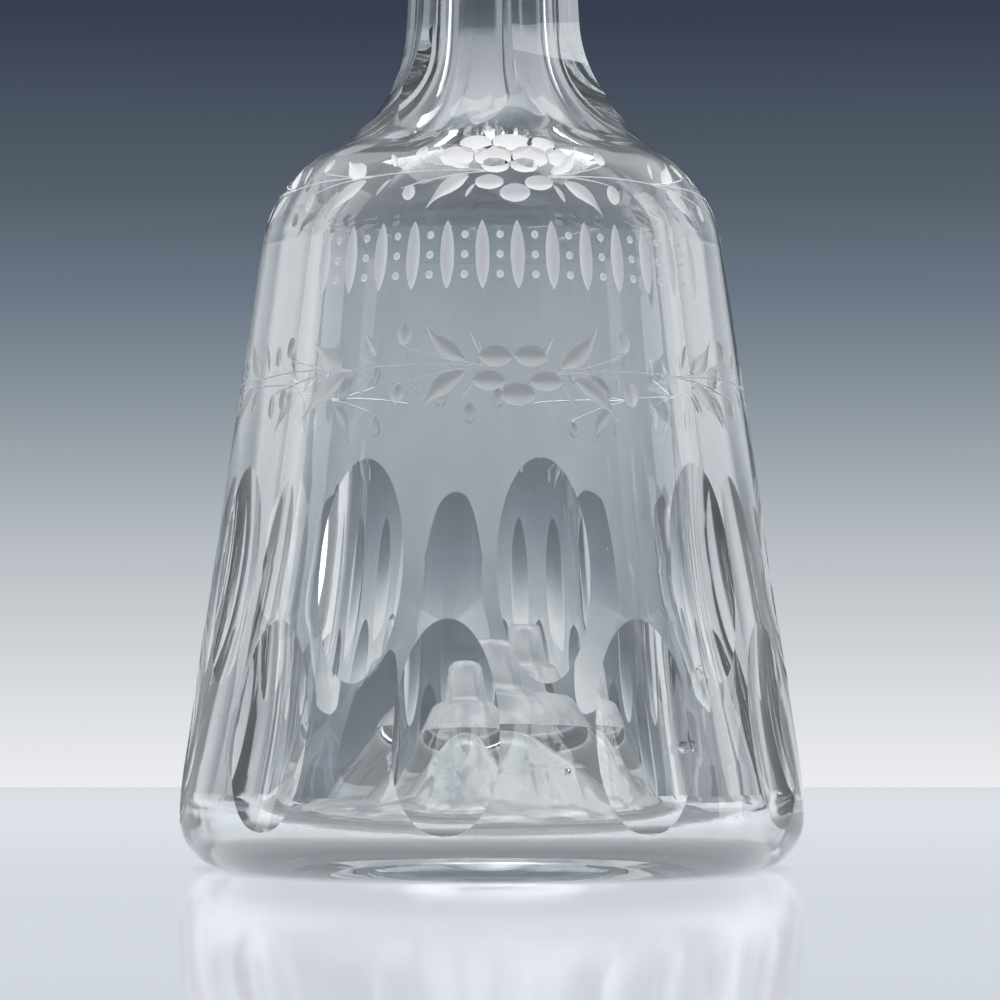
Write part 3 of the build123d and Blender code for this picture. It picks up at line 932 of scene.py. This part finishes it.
def clear_normal(face, spot):
    """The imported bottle's normal at this spot, on the triangle nearest to the middle of this face."""
    source = packed.polygons[glass_tree.find_nearest(face.center)[2]]
    corners = [packed.vertices[index].co for index in source.vertices]
    normals = [packed_normals[index] for index in source.loop_indices]
    found = barycentric_transform(spot, *corners, *normals).normalized()
    return found if found.dot(face.normal) > same_way else face.normal


def matt_normal(face, corner):
    near = [other for other in matt_round[corner] if other.normal.dot(face.normal) > crease]
    return sum((other.normal * other.area for other in near), Vector()).normalized()


corner_normals = []
for face in engraved.polygons:
    for corner in face.vertices:
        if face.material_index in matt_kinds:
            corner_normals.append(matt_normal(face, corner))
        else:
            corner_normals.append(clear_normal(face, engraved.vertices[corner].co))
engraved.shade_smooth()
engraved.normals_split_custom_set(corner_normals)
glass = linked("bottle_glass", engraved)
glass.visible_shadow = False
glass.visible_diffuse = False
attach(glass, "bottle")
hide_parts("bottle")
print("normals for", len(corner_normals), "corners")

# %% [markdown]
# ## Silver plate, brass and steel
# The pourer is turned brass under a thin coat of silver. A lathe leaves fine rings, polishing
# leaves faint scratches, tarnish settles in soft warm patches, and where thumbs and cloths rub, on
# the knop, the rim and the flange's edge, the brass comes through. Each of those is one mask here,
# and the masks are sums.

# %% One metal finish
rubbed_rings = (
    (5.25 * mm, grey(0)),
    (5.558 * mm, grey(1)),
    (5.74 * mm, grey(1)),
    (6.02 * mm, grey(0)),
    (11.2 * mm, grey(0)),
    (12.18 * mm, grey(1)),
)
rubbed_span = 14 * mm
rubbed_fade = 0.12
gloss_spread = 0.22


def metal(name, bright, dull, worn, rings, rubbed_from, gloss):
    """A turned metal: two tones in patches, rings and scratches, and a worn tone where it is rubbed."""
    made, shader = material(name)
    patches = shader.noise(2.6 * mm, detail=4.0, roughness=0.6, distortion=0.8)
    flecks = shader.noise(0.8 * mm, detail=5.0, roughness=0.7)
    turned = shader.noise(0.16 * mm, detail=1.0, stretch=(0.04, 0.04, 1.0))
    scratch = shader.noise(0.5 * mm, detail=3.0, stretch=(6.0, 0.5, 1.6), distortion=0.4)
    at_fleck = shader.ramp(flecks, (rubbed_from, grey(0)), (rubbed_from + rubbed_fade, grey(1)))
    rubbed = shader.graded(shader.radius(), rubbed_span, *rubbed_rings) * at_fleck
    tone = shader.mix(shader.ramp(patches, (0.38, grey(0)), (0.72, grey(1))), bright, dull)
    shader.finish(
        shader.surface(
            Base_Color=shader.mix(rubbed, tone, worn),
            Metallic=1.0,
            Roughness=shader.ramp(
                patches + scratch * 0.35, (0.45, grey(gloss)), (0.95, grey(gloss + gloss_spread))
            ),
            Normal=shader.bump(turned * rings + scratch * 0.4, 0.35, 0.02 * mm),
        )
    )
    return made


print("rubbed at radii of", [round(place / mm, 2) for place, colour in rubbed_rings], "mm")

# %% The four metals
silver_bright, silver_dull = (0.88, 0.87, 0.84, 1.0), (0.60, 0.54, 0.45, 1.0)
thin_bright, thin_dull = (0.80, 0.76, 0.66, 1.0), (0.52, 0.42, 0.27, 1.0)
brass_bright, brass_dull = (0.74, 0.55, 0.28, 1.0), (0.38, 0.27, 0.14, 1.0)
steel_bright, steel_dull = (0.56, 0.56, 0.57, 1.0), (0.33, 0.29, 0.25, 1.0)
steel_worn = (0.6, 0.6, 0.6, 1.0)

silver = metal(
    "silver_plate", silver_bright, silver_dull, brass_bright, rings=0.8, rubbed_from=0.46, gloss=0.12
)
thin_plate = metal(
    "stem_plate", thin_bright, thin_dull, brass_bright, rings=0.4, rubbed_from=0.40, gloss=0.22
)
brass = metal(
    "bare_brass", brass_bright, brass_dull, brass_bright, rings=1.0, rubbed_from=0.50, gloss=0.30
)
steel_wire = metal(
    "pin_steel", steel_bright, steel_dull, steel_worn, rings=0.3, rubbed_from=0.5, gloss=0.26
)
print("four metals")

# %% [markdown]
# ## Cork
# Cork is bark: warm brown, with darker growth lines and short dark pores, the lenticels, that run
# across the stopper. The finish below colours and dents it, and the pores are stretched one way, as
# they lie in the bark.

# %% Cork finish
cork_pale, cork_tan, cork_brown = (0.72, 0.53, 0.33), (0.60, 0.41, 0.23), (0.42, 0.26, 0.13)
line_brown, pore_brown = (0.34, 0.20, 0.10, 1.0), (0.16, 0.09, 0.05, 1.0)

cork_skin, bark = material("cork")
grain = bark.noise(1.6 * mm, detail=5.0, roughness=0.65, distortion=0.6)
years = bark.noise(2.4 * mm, detail=2.0, stretch=(3.0, 0.5, 0.5), distortion=0.5)
pores = bark.noise(0.9 * mm, detail=3.0, roughness=0.6, stretch=(0.45, 1.6, 1.6), distortion=0.7)
dark = bark.ramp(pores, (0.60, grey(0)), (0.68, grey(1)))
tan = bark.ramp(grain, (0.30, cork_brown), (0.52, cork_tan), (0.74, cork_pale))
lined = bark.mix(bark.ramp(years, (0.56, grey(0)), (0.64, grey(0.45))), tan, line_brown)
bark.finish(
    bark.surface(
        Base_Color=bark.mix(dark, lined, pore_brown),
        Roughness=bark.ramp(grain, (0.3, grey(0.72)), (0.7, grey(0.9))),
        Normal=bark.bump(grain * 0.3 - dark * 1.0, 0.7, 0.25 * mm),
    )
)
print("cork finish")

# %% [markdown]
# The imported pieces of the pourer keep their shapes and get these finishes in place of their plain
# ones.

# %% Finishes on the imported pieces
finishes = {
    "stem_tube": thin_plate,
    "cork_washer": brass,
    "stem_nut": brass,
    "mouth_flange": silver,
    "nozzle": silver,
    "dasher_disc": silver,
    "hinge_bracket": silver,
    "hinge_pin": steel_wire,
    "lid": silver,
    "lid_seal": cork_skin,
    "thumb_piece": silver,
}
for name, finish in finishes.items():
    for place in node[name].material_slots:
        place.material = finish
print("finishes on", len(finishes), "packed pieces")

# %% [markdown]
# The stopper itself is made again: its outline is spun round the axis, and its skin is pitted where
# pores opened when it was cut. Every pit goes inwards, so the cork still fits the neck of the
# bottle.

# %% Stopper
cork_low, cork_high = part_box("cork")
tube_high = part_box("stem_tube")[1]
cork_length = cork_high.z - cork_low.z
cork_wide = cork_high.x
cork_taper = 0.68 * mm
cork_narrow = cork_wide - cork_taper
cork_bevel = 0.6 * mm
bore_clearance = 0.02 * mm
bore = tube_high.x + bore_clearance
levels, turns = 60, 120

cork_shape = bmesh.new()
outline = [(bore, cork_low.z), (cork_narrow - cork_bevel, cork_low.z)]
for step in range(levels + 1):
    up = cork_bevel + (cork_length - cork_bevel) * step / levels
    outline.append((cork_narrow + cork_taper * up / cork_length, cork_low.z + up))
outline.append((bore, cork_high.z))
loop = [cork_shape.verts.new((radius, 0, height)) for radius, height in outline]
edges = [cork_shape.edges.new(pair) for pair in zip(loop, loop[1:] + loop[:1])]
spin_round(cork_shape, loop + edges, turns)
bmesh.ops.recalc_face_normals(cork_shape, faces=cork_shape.faces)
print("stopper", len(cork_shape.faces), "faces")

# %% [markdown]
# A pit is an oval dent, wider round the stopper than it is tall, and deepest in its middle.

# %% Pits
pit_count = 150
pit_wide, pit_tall, pit_deep = (0.5, 1.6), (0.3, 0.6), (0.15, 0.45)
pitter = random.Random(11)
skin_from = cork_narrow - cork_bevel / 2
skin = [vert for vert in cork_shape.verts if math.hypot(vert.co.x, vert.co.y) > skin_from]
for pit in range(pit_count):
    turn = pitter.uniform(0, 2 * math.pi)
    height = pitter.uniform(cork_low.z, cork_high.z)
    wide, tall = pitter.uniform(*pit_wide) * mm, pitter.uniform(*pit_tall) * mm
    deep = pitter.uniform(*pit_deep) * mm
    for vert in skin:
        if abs(vert.co.z - height) < tall:
            off = (math.atan2(vert.co.y, vert.co.x) - turn + math.pi) % (2 * math.pi) - math.pi
            far = (off * cork_wide / wide) ** 2 + ((vert.co.z - height) / tall) ** 2
            if far < 1:
                inward = 1 - deep * (1 - far) / math.hypot(vert.co.x, vert.co.y)
                vert.co.x, vert.co.y = vert.co.x * inward, vert.co.y * inward
cork_mesh = mesh_of(cork_shape, "cork_stopper")
cork_mesh.shade_smooth()
cork_mesh.materials.append(cork_skin)
stopper = linked("cork_stopper", cork_mesh)
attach(stopper, "pourer")
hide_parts("cork")
print(pit_count, "pits")

# %% [markdown]
# ## Beading
# A row of small beads on the flange's ledge and two thin threads on the nozzle are usual trimmings
# of such pourers. They are rolled wire soldered on, so they stand half out of what carries them.

# %% Beads
flange_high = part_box("mouth_flange")[1]
bead_radius, bead_count = 0.42 * mm, 66
ledge_inset, ledge_drop = 1.75 * mm, 2.98 * mm
bead_ring = flange_high.x - ledge_inset
bead_height = flange_high.z - ledge_drop

trim_shape = bmesh.new()
for index in range(bead_count):
    angle = 2 * math.pi * index / bead_count
    centre = (bead_ring * math.sin(angle), bead_ring * math.cos(angle), bead_height)
    spot = Matrix.Translation(centre)
    bmesh.ops.create_icosphere(trim_shape, subdivisions=2, radius=bead_radius, matrix=spot)
print(bead_count, "beads")

# %% Threads
thread_radius, thread_corners, thread_steps = 0.2 * mm, 10, 72
threads = ((4.36 * mm, flange_high.z + 5.9 * mm), (4.62 * mm, flange_high.z + 11.2 * mm))
upright = Matrix.Rotation(math.radians(90), 4, "X")

for radius, height in threads:
    spot = Matrix.Translation((radius, 0, height)) @ upright
    wire = bmesh.ops.create_circle(
        trim_shape, segments=thread_corners, radius=thread_radius, matrix=spot
    )["verts"]
    wire_edges = list({edge for vert in wire for edge in vert.link_edges})
    spin_round(trim_shape, wire + wire_edges, thread_steps)
bmesh.ops.recalc_face_normals(trim_shape, faces=trim_shape.faces)
trim_mesh = mesh_of(trim_shape, "beading")
trim_mesh.shade_smooth()
trim_mesh.materials.append(silver)
trim = linked("beading", trim_mesh)
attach(trim, "pourer")
print(len(threads), "threads")
